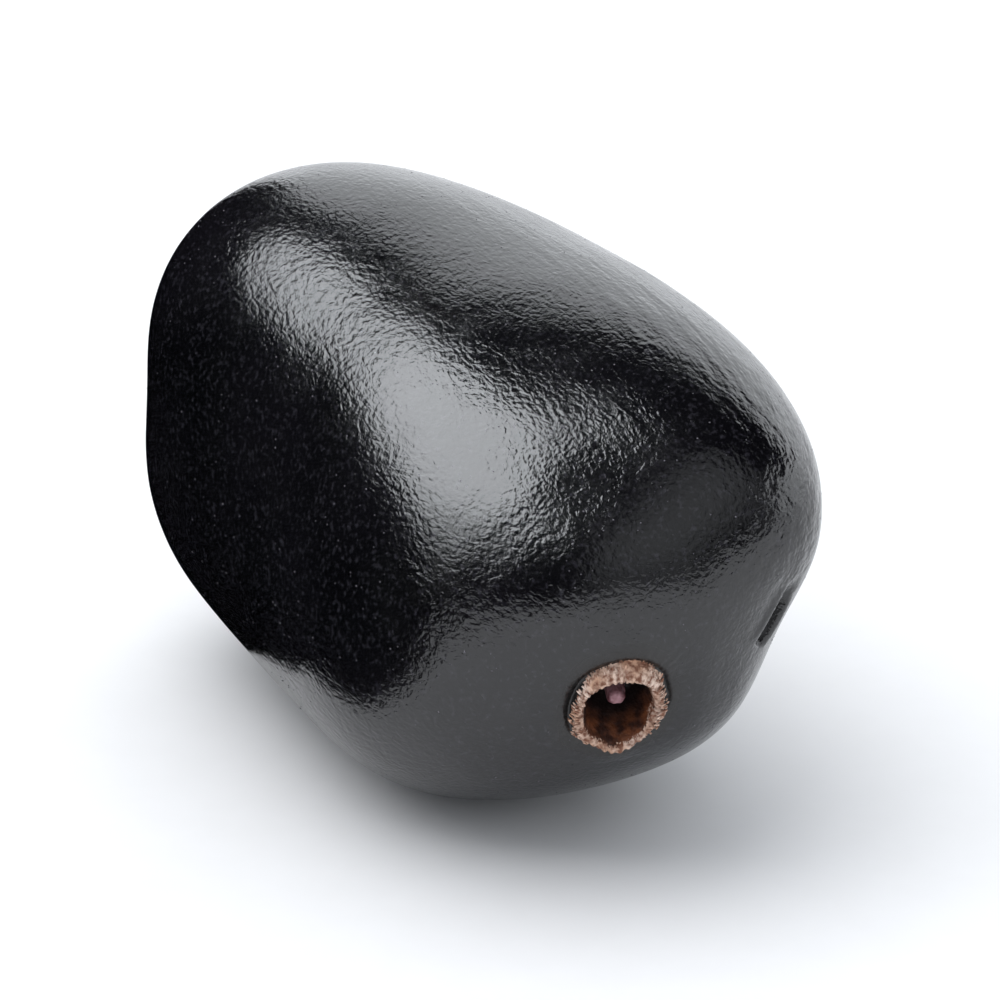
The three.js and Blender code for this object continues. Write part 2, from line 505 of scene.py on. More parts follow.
def relief_tree():
    """Skin relief: soft swellings, shallow dimples and fine peel, pushed along the surface."""
    number = "NodeSocketFloat"
    tree, given, result = geometry_tree(
        "skin relief",
        {
            "Swelling Height": (number, 0.0001),
            "Swelling Size": (number, 0.0055),
            "Dimple Height": (number, 0.00003),
            "Dimple Size": (number, 0.0015),
            "Peel Height": (number, 0.00001),
            "Peel Size": (number, 0.0006),
            "Seed": (number, 4.0),
        },
    )
    place = add_node(tree, "GeometryNodeInputPosition").outputs["Position"]
    total = 0.0
    for label, detail in (("Swelling", 1.0), ("Dimple", 2.0), ("Peel", 1.0)):
        scale = math_node(tree, "DIVIDE", 1.0, given.outputs[f"{label} Size"])
        noise = add_node(
            tree,
            "ShaderNodeTexNoise",
            {"Vector": place, "W": given.outputs["Seed"], "Scale": scale, "Detail": detail},
            noise_dimensions="4D",
        )
        level = math_node(tree, "SUBTRACT", noise.outputs[0], 0.5)
        height = math_node(tree, "MULTIPLY", level, given.outputs[f"{label} Height"])
        total = math_node(tree, "ADD", total, height)
    mask = add_node(tree, "GeometryNodeInputNamedAttribute", {"Name": "relief"}, data_type="FLOAT")
    shaped = math_node(tree, "MULTIPLY", total, mask.outputs["Attribute"])
    normal = add_node(tree, "GeometryNodeInputNormal")
    push = add_node(
        tree,
        "ShaderNodeVectorMath",
        {0: normal.outputs[0], "Scale": shaped},
        operation="SCALE",
    )
    moved = add_node(
        tree, "GeometryNodeSetPosition", {"Geometry": given.outputs["Geometry"], "Offset": push.outputs[0]}
    )
    tree.links.new(moved.outputs[0], result.inputs[0])
    return tree


def scatter_tree(name, grain_radius, material):
    """Small flattened grains set on the surface at random, only where the allowed mask is 1."""
    number = "NodeSocketFloat"
    tree, given, result = geometry_tree(
        name,
        {
            "Density": (number, 100000.0),
            "Grain Radius": (number, grain_radius),
            "Flatness": (number, 0.4),
            "Seed": ("NodeSocketInt", 1),
        },
    )
    mask = add_node(tree, "GeometryNodeInputNamedAttribute", {"Name": "specks"}, data_type="FLOAT")
    density = math_node(tree, "MULTIPLY", given.outputs["Density"], mask.outputs["Attribute"])
    points = add_node(
        tree,
        "GeometryNodeDistributePointsOnFaces",
        {"Mesh": given.outputs["Geometry"], "Density": density, "Seed": given.outputs["Seed"]},
    )
    grain = add_node(
        tree, "GeometryNodeMeshIcoSphere", {"Radius": given.outputs["Grain Radius"], "Subdivisions": 2}
    )
    flat = add_node(
        tree, "ShaderNodeCombineXYZ", {"X": 1.0, "Y": 0.8, "Z": given.outputs["Flatness"]}
    )
    pressed = add_node(
        tree, "GeometryNodeTransform", {"Geometry": grain.outputs[0], "Scale": flat.outputs[0]}
    )
    size = add_node(
        tree, "FunctionNodeRandomValue", {2: 0.45, 3: 1.3, "Seed": given.outputs["Seed"]}, data_type="FLOAT"
    )
    placed = add_node(
        tree,
        "GeometryNodeInstanceOnPoints",
        {
            "Points": points.outputs["Points"],
            "Instance": pressed.outputs[0],
            "Rotation": points.outputs["Rotation"],
            "Scale": size.outputs[1],
        },
    )
    real = add_node(tree, "GeometryNodeRealizeInstances", {"Geometry": placed.outputs[0]})
    finished = add_node(
        tree, "GeometryNodeSetMaterial", {"Geometry": real.outputs[0], "Material": material}
    )
    tree.links.new(finished.outputs[0], result.inputs[0])
    return tree


def flake_tree(material):
    """Thin corky flakes that lie outwards over the calyx rim, one on each point of a line round it."""
    number = "NodeSocketFloat"
    tree, given, result = geometry_tree(
        "rim flakes",
        {
            "Flake Length": (number, 0.0006),
            "Flake Width": (number, 0.00016),
            "Flake Thickness": (number, 0.00007),
            "Seed": ("NodeSocketInt", 6),
        },
    )
    size = add_node(
        tree,
        "ShaderNodeCombineXYZ",
        {
            "X": given.outputs["Flake Width"],
            "Y": given.outputs["Flake Thickness"],
            "Z": given.outputs["Flake Length"],
        },
    )
    ball = add_node(tree, "GeometryNodeMeshIcoSphere", {"Radius": 0.5, "Subdivisions": 2})
    flake = add_node(
        tree, "GeometryNodeTransform", {"Geometry": ball.outputs[0], "Scale": size.outputs[0]}
    )
    outward = add_node(
        tree, "GeometryNodeInputNamedAttribute", {"Name": "outward"}, data_type="FLOAT_VECTOR"
    )
    upward = add_node(
        tree, "GeometryNodeInputNamedAttribute", {"Name": "upward"}, data_type="FLOAT_VECTOR"
    )
    wander = add_node(
        tree,
        "FunctionNodeRandomValue",
        {0: (-0.35, -0.35, -0.35), 1: (0.35, 0.35, 0.35), "Seed": given.outputs["Seed"]},
        data_type="FLOAT_VECTOR",
    )
    leaning = add_node(
        tree,
        "ShaderNodeVectorMath",
        {0: outward.outputs["Attribute"], 1: wander.outputs[0]},
        operation="ADD",
    )
    pointed = add_node(
        tree, "FunctionNodeAlignRotationToVector", {"Vector": leaning.outputs[0]}, axis="Z"
    )
    turned = add_node(
        tree,
        "FunctionNodeAlignRotationToVector",
        {"Rotation": pointed.outputs[0], "Vector": upward.outputs["Attribute"]},
        axis="Y",
        pivot_axis="Z",
    )
    lengths = add_node(
        tree,
        "FunctionNodeRandomValue",
        {0: (0.6, 0.6, 0.45), 1: (1.5, 1.5, 1.25), "Seed": given.outputs["Seed"]},
        data_type="FLOAT_VECTOR",
    )
    placed = add_node(
        tree,
        "GeometryNodeInstanceOnPoints",
        {
            "Points": given.outputs["Geometry"],
            "Instance": flake.outputs[0],
            "Rotation": turned.outputs[0],
            "Scale": lengths.outputs[0],
        },
    )
    real = add_node(tree, "GeometryNodeRealizeInstances", {"Geometry": placed.outputs[0]})
    finished = add_node(
        tree, "GeometryNodeSetMaterial", {"Geometry": real.outputs[0], "Material": material}
    )
    tree.links.new(finished.outputs[0], result.inputs[0])
    return tree


# ---------------------------------------------------------------- materials


def per_metre(size_mm):
    """Texture scale for a feature of this size in millimetres."""
    return 1000 / size_mm


def read_mask(tree, name, low, high, start=0.0, stop=1.0):
    """A vertex mask as a factor that runs from start at low to stop at high."""
    mask = add_node(tree, "ShaderNodeAttribute", attribute_name=name)
    return add_node(
        tree,
        "ShaderNodeMapRange",
        {"Value": mask.outputs["Fac"], 1: low, 2: high, 3: start, 4: stop},
        interpolation_type="SMOOTHSTEP",
    ).outputs[0]


def noise_factor(tree, place, size_mm, detail=2.0, low=0.35, high=0.65):
    """Noise with features of this size, stretched to run from 0 to 1."""
    noise = add_node(
        tree, "ShaderNodeTexNoise", {"Vector": place, "Scale": per_metre(size_mm), "Detail": detail}
    )
    return add_node(
        tree, "ShaderNodeMapRange", {"Value": noise.outputs["Fac"], 1: low, 2: high, 3: 0.0, 4: 1.0}
    ).outputs[0]


def grain_normal(tree, place, size_mm, detail, strength, height_mm):
    """The normal socket of a fine grain of this size, raised by this height."""
    grain = add_node(
        tree, "ShaderNodeTexNoise", {"Vector": place, "Scale": per_metre(size_mm), "Detail": detail}
    )
    bump = add_node(
        tree,
        "ShaderNodeBump",
        {"Height": grain.outputs["Fac"], "Strength": strength, "Distance": height_mm * MM},
    )
    return bump.outputs[0]


def ripe_skin_material():
    """Ripe jamun skin: a thin waxy cuticle over near-black purple flesh.

    The cuticle gives a clear but slightly broken gloss, the fine peel under it scatters the edge
    of a highlight into sparkles, and purple shows only where the skin puckers round the stem scar.
    """
    look = settings().skin
    material, tree = new_material("ripe jamun skin")
    place = add_node(tree, "ShaderNodeTexCoord").outputs["Object"]

    patch = noise_factor(tree, place, 7.0)
    freckle = noise_factor(tree, place, 0.2, 2.0, 0.54, 0.74)
    near_scar = read_mask(tree, "scar_mm", 2.2, 7.5, 1.0, 0.0)
    near_calyx = read_mask(tree, "calyx_mm", 2.1, 3.0, 1.0, 0.0)
    ridge = read_mask(tree, "ridge", -0.1, 0.5)
    base = mix_colours(tree, patch, tuple(look.deep), tuple(look.violet))
    base = mix_colours(tree, freckle, base, tuple(look.bloom))
    plum = mix_colours(tree, ridge, tuple(look.plum), tuple(look.plum_ridge))
    base = mix_colours(tree, near_scar, base, plum)
    base = mix_colours(tree, near_calyx, base, tuple(look.collar))
    # painted shade: the crack's slit is coloured near black
    crack = read_mask(tree, "crack", 0.25, 0.8)
    base = mix_colours(tree, crack, base, CRACK_PAINTED_SHADE)

    dull = noise_factor(tree, place, 2.6, 3.0, 0.3, 0.7)
    gloss = add_node(
        tree, "ShaderNodeMapRange", {"Value": dull, 3: look.roughness - 0.04, 4: look.roughness + 0.07}
    )
    # duller where the skin puckers round the scar and gathers dust round the calyx
    puckered = math_node(tree, "MULTIPLY", near_scar, 0.22)
    dusty = math_node(tree, "MULTIPLY_ADD", near_calyx, 0.25, puckered)
    rough = math_node(tree, "ADD", gloss.outputs[0], dusty)

    # small peel cells, stretched a little along the fruit, with finer pimples between them
    stretched = add_node(tree, "ShaderNodeMapping", {"Vector": place, "Scale": (0.7, 1.0, 1.0)})
    warp = add_node(
        tree, "ShaderNodeTexNoise", {"Vector": stretched.outputs[0], "Scale": per_metre(0.9), "Detail": 2.0}
    )
    bent = add_node(
        tree,
        "ShaderNodeVectorMath",
        {0: warp.outputs["Color"], 1: (0.0005, 0.0005, 0.0005), 2: stretched.outputs[0]},
        operation="MULTIPLY_ADD",
    )
    cells = add_node(
        tree,
        "ShaderNodeTexVoronoi",
        {"Vector": bent.outputs[0], "Scale": per_metre(look.peel_size / MM)},
        feature="SMOOTH_F1",
    )
    cells.inputs["Smoothness"].default_value = 0.6
    fine = add_node(
        tree, "ShaderNodeTexNoise", {"Vector": bent.outputs[0], "Scale": per_metre(0.16), "Detail": 2.0}
    )
    lower = add_node(
        tree,
        "ShaderNodeBump",
        {"Height": cells.outputs["Distance"], "Strength": look.peel_strength, "Distance": 0.00006},
        invert=True,
    )
    upper = add_node(
        tree,
        "ShaderNodeBump",
        {
            "Height": fine.outputs["Fac"],
            "Strength": look.pimple_strength,
            "Distance": 0.000035,
            "Normal": lower.outputs[0],
        },
    )
    # lengthwise wrinkles where the skin has begun to dry, along the upper far side
    drawn = add_node(tree, "ShaderNodeMapping", {"Vector": place, "Scale": (0.16, 1.0, 1.0)})
    furrow = add_node(
        tree, "ShaderNodeTexNoise", {"Vector": drawn.outputs[0], "Scale": per_metre(0.55), "Detail": 2.0}
    )
    across = add_node(tree, "ShaderNodeSeparateXYZ", {"Vector": place}).outputs["Y"]
    dried = add_node(tree, "ShaderNodeMapRange", {"Value": across, 1: 0.0005, 2: 0.0065, 3: 0.0, 4: 0.55})
    streaked = add_node(
        tree,
        "ShaderNodeBump",
        {
            "Height": furrow.outputs["Fac"],
            "Strength": dried.outputs[0],
            "Distance": 0.00022,
            "Normal": upper.outputs[0],
        },
    )
    shader = add_node(
        tree,
        "ShaderNodeBsdfPrincipled",
        {"Base Color": base, "Roughness": rough, "IOR": 1.62, "Normal": streaked.outputs[0]},
    )
    # painted shade in the crack: its gloss is turned down too, so no light comes back out of it
    level = add_node(tree, "ShaderNodeMapRange", {"Value": crack, 3: 0.5, 4: 0.03})
    tree.links.new(level.outputs[0], shader.inputs["Specular IOR Level"])
    finish_material(tree, shader)
    return material


def cork_material(name, pale, tan, shade):
    """Cork that seals a scar: dry, dull and crumbly, pale on its crumbs and brown between them."""
    material, tree = new_material(name)
    place = add_node(tree, "ShaderNodeTexCoord").outputs["Object"]
    broad = noise_factor(tree, place, 1.1, 3.0, 0.35, 0.62)
    crumb = noise_factor(tree, place, 0.22, 3.0, 0.38, 0.62)
    base = mix_colours(tree, broad, colour(tan), colour(pale))
    base = mix_colours(tree, crumb, colour(shade), base)
    outer = read_mask(tree, "scar_mm", 1.3, 1.95)
    on_scar = read_mask(tree, "scar_mm", 2.5, 3.0, 1.0, 0.0)
    browned = math_node(tree, "MULTIPLY", outer, on_scar)
    base = mix_colours(tree, browned, base, colour("#432a18"))
    pit = read_mask(tree, "pit", 0.3, 0.9)
    base = mix_colours(tree, pit, base, colour("#2a160e"))
    grain = grain_normal(tree, place, 0.25, 4.0, 0.8, 0.1)
    shader = add_node(
        tree,
        "ShaderNodeBsdfPrincipled",
        {"Base Color": base, "Roughness": 0.82, "IOR": 1.45, "Normal": grain},
    )
    shader.inputs["Specular IOR Level"].default_value = 0.35
    finish_material(tree, shader)
    return material


def cup_material():
    """Lining of the calyx cup: dried, brown and papery at the mouth, with painted shade that darkens it to
    almost black at the floor.
    """
    material, tree = new_material("calyx lining with painted shade")
    place = add_node(tree, "ShaderNodeTexCoord").outputs["Object"]
    # painted shade: the lining darkens with depth, to near black at the cup's floor
    deep = read_mask(tree, "cup_mm", 0.1, 1.5)
    stain = noise_factor(tree, place, 0.5, 3.0, 0.4, 0.65)
    wall = mix_colours(tree, stain, colour("#3a1d12"), colour("#7a4526"))
    base = mix_colours(tree, deep, wall, colour("#160a0a"))
    grain = grain_normal(tree, place, 0.3, 3.0, 0.7, 0.12)
    shader = add_node(
        tree,
        "ShaderNodeBsdfPrincipled",
        {"Base Color": base, "Roughness": 0.55, "IOR": 1.45, "Normal": grain},
    )
    finish_material(tree, shader)
    return material


def style_material():
    """The withered style: a fleshy mauve nub, mottled with paler patches."""
    material, tree = new_material("withered style")
    place = add_node(tree, "ShaderNodeTexCoord").outputs["Object"]
    patch = noise_factor(tree, place, 0.3, 2.0)
    base = mix_colours(tree, patch, colour("#6b3f47"), colour("#a97f86"))
    grain = grain_normal(tree, place, 0.2, 2.0, 0.5, 0.08)
    shader = add_node(
        tree,
        "ShaderNodeBsdfPrincipled",
        {"Base Color": base, "Roughness": 0.5, "IOR": 1.45, "Normal": grain},
    )
    finish_material(tree, shader)
    return material


def lenticel_material():
    """Lenticels and wax grains: pin-point pale dots, dull against the gloss."""
    material, tree = new_material("pale lenticels")
    place = add_node(tree, "ShaderNodeTexCoord").outputs["Object"]
    patch = noise_factor(tree, place, 1.5, 1.0)
    base = mix_colours(tree, patch, colour("#2e2c33"), colour("#6c6971"))
    shader = add_node(
        tree, "ShaderNodeBsdfPrincipled", {"Base Color": base, "Roughness": 0.6, "IOR": 1.45}
    )
    finish_material(tree, shader)
    return material


def paper_material():
    """White studio paper: matt, with a barely visible tooth."""
    material, tree = new_material("white studio paper")
    place = add_node(tree, "ShaderNodeTexCoord").outputs["Object"]
    tooth = noise_factor(tree, place, 2.0, 2.0)
    base = mix_colours(tree, tooth, (0.897, 0.905, 0.921, 1), settings().studio.paper)
    shader = add_node(
        tree, "ShaderNodeBsdfPrincipled", {"Base Color": base, "Roughness": 0.9, "IOR": 1.3}
    )
    finish_material(tree, shader)
    return material


# ---------------------------------------------------------------- settings


def length(name, description, millimetres):
    """A length a user may change, given in millimetres."""
    return bpy.props.FloatProperty(
        name=name,
        description=description,
        default=millimetres * MM,
        min=0.0,
        precision=5,
        unit="LENGTH",
    )


def tint(name, description, hex_code):
    """A colour a user may change."""
    return bpy.props.FloatVectorProperty(
        name=name,
        description=description,
        default=colour(hex_code),
        size=4,
        min=0.0,
        max=1.0,
        subtype="COLOR",
    )


def factor(name, description, default, high=1.0):
    """A number a user may change with a slider."""
    return bpy.props.FloatProperty(
        name=name, description=description, default=default, min=0.0, max=high, subtype="FACTOR"
    )


class JamunSkin(bpy.types.PropertyGroup):
    """The skin's fineness, relief and colours."""

    rings: bpy.props.IntProperty(
        name="Rings", description="Rings along the fruit between its two ends", default=214, min=20
    )
    segments: bpy.props.IntProperty(
        name="Segments", description="Points round each ring", default=288, min=24
    )
    swelling_height: length("Swelling height", "Height of the soft swellings", 0.14)
    swelling_size: length("Swelling size", "Distance between soft swellings", 5.5)
    dimple_height: length("Dimple height", "Height of the shallow dimples", 0.017)
    dimple_size: length("Dimple size", "Distance between dimples", 1.5)
    peel_height: length("Peel height", "Height of the fine peel in the mesh", 0.004)
    peel_size: length("Peel size", "Distance between peel cells", 0.24)
    peel_strength: factor("Peel strength", "How strongly the peel cells catch the light", 0.22)
    pimple_strength: factor("Pimple strength", "How strongly the finest grain catches the light", 0.68)
    roughness: factor("Roughness", "Roughness of the waxy cuticle", 0.145)
    deep: tint("Deep", "Darkest skin colour", "#060608")
    violet: tint("Violet", "Skin colour in its lighter patches", "#0d0c10")
    bloom: tint("Bloom", "Colour of the wax freckles", "#29282e")
    plum: tint("Plum", "Skin colour in the puckers round the stem scar", "#1c0c16")
    plum_ridge: tint("Plum ridge", "Skin colour on the puckers' ridges", "#4a2038")
    collar: tint("Collar", "Skin colour close round the calyx rim", "#100b09")


class JamunCalyx(bpy.types.PropertyGroup):
    """Sizes of the calyx cup, its rim and the flakes on it."""

    mouth_radius: length("Mouth radius", "Radius of the cup's mouth", 1.42)
    rim_radius: length("Rim radius", "Outer radius of the corky rim", 1.9)
    rim_height: length("Rim height", "Height of the rim above the skin", 0.28)
    cup_depth: length("Cup depth", "Depth of the cup", 2.2)
    pucker: length("Pucker", "Height of the ridges in the skin round the rim", 0.012)
    style_radius: length("Style radius", "Radius of the style's nub", 0.36)
    style_height: length("Style height", "Height of the style's nub above the cup's floor", 1.55)
    flake_length: length("Flake length", "Length of a flake across the rim", 0.34)
    flake_width: length("Flake width", "Width of a flake", 0.075)
    flakes: bpy.props.IntProperty(name="Flakes", description="Flakes in each row", default=72, min=0)


class JamunScar(bpy.types.PropertyGroup):
    """Sizes of the stem scar."""

    radius: length("Scar radius", "Radius of the corky disc", 1.95)
    depth: length("Scar depth", "How far the disc is sunk", 0.5)
    pucker_radius: length("Pucker radius", "Where the funnel round the scar begins", 4.4)
    pit_radius: length("Pit radius", "Radius of the stem's pit in the disc", 0.42)
    wrinkle_height: length("Wrinkle height", "Height of the wrinkles round the scar", 0.055)


class JamunStudio(bpy.types.PropertyGroup):
    """Camera and light."""

    azimuth: bpy.props.FloatProperty(
        name="Azimuth",
        description="Direction of view round the fruit",
        default=math.radians(59.9),
        subtype="ANGLE",
    )
    elevation: bpy.props.FloatProperty(
        name="Elevation", description="Height of view above level", default=math.radians(26), subtype="ANGLE"
    )
    distance: length("Distance", "Camera to fruit", 680)
    field: length("Field", "Width of the view at the fruit", 40)
    key_radiance: factor("Key radiance", "Brightness of the softbox", 6.6, 50.0)
    wall_radiance: factor("Wall radiance", "Brightness of the white walls", 1.9, 50.0)
    grey_radiance: factor("Grey radiance", "Brightness of the dim panel at the front", 0.6, 50.0)
    fill_radiance: factor("Fill radiance", "Brightness of the overhead fill", 1.8, 50.0)
    paper: tint("Paper", "Colour of the floor", "#f4f5f7")


class JamunSettings(bpy.types.PropertyGroup):
    """Everything a user may change."""

    skin: bpy.props.PointerProperty(type=JamunSkin)
    calyx: bpy.props.PointerProperty(type=JamunCalyx)
    scar: bpy.props.PointerProperty(type=JamunScar)
    studio: bpy.props.PointerProperty(type=JamunStudio)


# ---------------------------------------------------------------- operators


def fruit_rings():
    """The rings of the whole skin in millimetres, with their masks and the box they fill."""
    made = settings()
    end, spread, lift = stations(made.skin, made.calyx, made.scar)
    turn = -np.arange(made.skin.segments) / made.skin.segments * 2 * math.pi
    grid = np.ones((len(end), len(turn)))
    end, spread, lift = (values[:, None] * grid for values in (end, spread, lift))
    points, masks = fruit_surface(end, spread, lift, turn[None] * grid, made.calyx, made.scar)
    flat = points.reshape(-1, 3)
    return points, masks, flat.min(0), flat.max(0)


class JAMUN_OT_skin(bpy.types.Operator):
    """Build the fruit's skin, with its cup and scar, and its fine relief"""

    bl_idname = "jamun.skin"
    bl_label = "Build Skin"

    def execute(self, context):
        look = settings().skin
        points, masks, low, high = fruit_rings()
        points = into_frame(points, low, high)
        mesh = closed_rings("fruit_skin", points)
        height = ring_values(points[..., 2]) / MM
        on_skin = ring_values(smooth(masks["calyx_mm"], 1.9, 2.6) * smooth(masks["scar_mm"], 1.8, 2.4))
        masks = {name: ring_values(values) for name, values in masks.items()}
        masks["relief"] = (0.25 + 0.75 * on_skin) * smooth(height, 0.05, 0.9)
        masks["specks"] = on_skin * smooth(height, 0.4, 0.8) * (masks["crack"] < 0.1)
        for name, values in masks.items():
            layer = mesh.attributes.new(name, "FLOAT", "POINT")
            layer.data.foreach_set("value", values.astype(np.float32))
        for material in (
            ripe_skin_material(),
            cork_material("calyx rim cork", "#ead2c2", "#c79f86", "#7f5644"),
            cup_material(),
            cork_material("stem scar cork", "#c79a60", "#a3743e", "#5f3f22"),
        ):
            mesh.materials.append(material)
        self.paint(mesh, masks)
        skin = new_object("fruit_skin", mesh)
        values = {
            "Swelling Height": look.swelling_height,
            "Swelling Size": look.swelling_size,
            "Dimple Height": look.dimple_height,
            "Dimple Size": look.dimple_size,
            "Peel Height": look.peel_height,
            "Peel Size": look.peel_size,
            "Seed": 4.0,
        }
        apply_tree(skin, relief_tree(), values)
        self.rest(skin.data)
        keep(skin)
        return {"FINISHED"}

    def paint(self, mesh, masks):
        """Gives each face its material: the cork's edge is ragged."""
        rim = settings().calyx.rim_radius / MM
        mouth = settings().calyx.mouth_radius / MM
        scar = settings().scar.radius / MM
        rng = np.random.default_rng(12)
        count = len(mesh.polygons)
        starts = np.zeros(count, np.int32)
        mesh.polygons.foreach_get("loop_start", starts)
        corners = np.zeros(len(mesh.loops), np.int32)
        mesh.loops.foreach_get("vertex_index", corners)
        vertex = corners[starts]
        jitter = rng.uniform(-1, 1, count)
        calyx = masks["calyx_mm"][vertex] + 0.04 * jitter
        stem = masks["scar_mm"][vertex] + 0.04 * jitter
        lift = -masks["cup_mm"][vertex]
        index = np.zeros(count, np.int32)
        index[calyx < rim * 1.0] = 1
        index[(calyx < mouth * 1.06) & (lift < 0.12 + 0.1 * jitter)] = 2
        index[stem < scar] = 3
        mesh.polygons.foreach_set("material_index", index)

    def rest(self, mesh):
        """Presses the lowest skin flat where the fruit rests."""
        values = np.zeros(len(mesh.vertices) * 3, np.float32)
        mesh.vertices.foreach_get("co", values)
        place = values.reshape(-1, 3)
        place[:, 2] = np.maximum(place[:, 2], 0)
        mesh.vertices.foreach_set("co", place.ravel())
        mesh.update()


class JAMUN_OT_calyx(bpy.types.Operator):
    """Build the corky flakes on the calyx rim and the nub of the style in the cup"""

    bl_idname = "jamun.calyx"
    bl_label = "Build Calyx"

    def execute(self, context):
        made = settings()
        calyx = made.calyx
        _, _, low, high = fruit_rings()
        rng = np.random.default_rng(21)
        places, outwards, upwards = [], [], []
        for row, (reach, rise) in enumerate(((0.9, 0.22), (0.99, 0.1))):
            count = calyx.flakes + 6 * row
            turn = (np.arange(count) + rng.uniform(-0.4, 0.4, count)) / count * 2 * math.pi
            radius = calyx.rim_radius / MM * reach * (1 + 0.03 * rng.standard_normal(count))
            here = self.on_rim(turn, radius, rise, low, high)
            beyond = self.on_rim(turn, radius + 0.4, rise - 0.3 * row - 0.05, low, high)
            above = self.on_rim(turn, radius, rise + 0.5, low, high)
            places.append(here)
            outwards.append(beyond - here)
            upwards.append(above - here)
        line = bpy.data.meshes.new("rim_flakes")
        line.from_pydata(np.vstack(places).tolist(), [], [])
        for name, values in (("outward", outwards), ("upward", upwards)):
            layer = line.attributes.new(name, "FLOAT_VECTOR", "POINT")
            arrows = np.vstack(values)
            arrows /= np.linalg.norm(arrows, axis=1, keepdims=True)
            layer.data.foreach_set("vector", arrows.astype(np.float32).ravel())
        flakes = new_object("rim_flakes", line)
        cork = cork_material("rim flake cork", "#f0dccf", "#cfa78e", "#8f6450")
        sizes = {"Flake Length": calyx.flake_length, "Flake Width": calyx.flake_width, "Seed": 6}
        apply_tree(flakes, flake_tree(cork), sizes)
        keep(flakes)
        self.build_style(low, high)
        return {"FINISHED"}

    def on_rim(self, turn, radius, rise, low, high):
        """Points over the calyx end, at a radius from the cup's middle and a rise off the skin."""
        made = settings()
        spread = radius / END_SCALE
        offset = CALYX_OFFSET * (1 - spread**2) ** 2
        across = spread * np.cos(turn) + offset * math.cos(CALYX_TURN)
        up = spread * np.sin(turn) + offset * math.sin(CALYX_TURN)
        end = np.ones(len(turn))
        points = skin_points(end, across, up) + end_normals(end, across, up) * rise
        wavy = rim_wave(turn)
        middle = points.mean(0)
        points = middle + (points - middle) * (1 + wavy[:, None])
        return into_frame(press_hollows(points), low, high)

    def build_style(self, low, high):
        calyx = settings().calyx
        depth = calyx.cup_depth / MM
        radius, height = calyx.style_radius / MM, calyx.style_height / MM
        profile = rounded(
            [(0, -0.3), (radius * 1.5, -0.1), (radius * 1.1, height * 0.3), (radius, height * 0.75),
             (radius * 0.8, height * 0.97), (0.001, height)],
            0.05,
        )
        turn = np.arange(48) / 48 * 2 * math.pi
        rings = []
        for reach, rise in profile[::-1]:
            ring = self.on_rim(turn, np.full(48, 0.2), rise - depth, low, high)
            middle = ring.mean(0)
            wobble = 1 + 0.08 * np.cos(3 * turn + rise) + 0.05 * np.cos(7 * turn)
            arms = ring - middle
            arms /= np.linalg.norm(arms, axis=1, keepdims=True)
            rings.append(middle + arms * (reach * MM * wobble)[:, None])
        mesh = closed_rings("style_nub", np.array(rings)[:, ::-1])
        mesh.materials.append(style_material())
        keep(new_object("style_nub", mesh))


class JAMUN_OT_specks(bpy.types.Operator):
    """Set the pale lenticels and wax grains on the skin"""

    bl_idname = "jamun.specks"
    bl_label = "Add Specks"

    def execute(self, context):
        skin = bpy.data.objects["fruit_skin"]
        specks = new_object("skin_specks", skin.data.copy())
        tree = scatter_tree("skin specks", 0.00004, lenticel_material())
        apply_tree(specks, tree, {"Density": 700000.0, "Grain Radius": 0.000032, "Seed": 8})
        keep(specks)
        return {"FINISHED"}


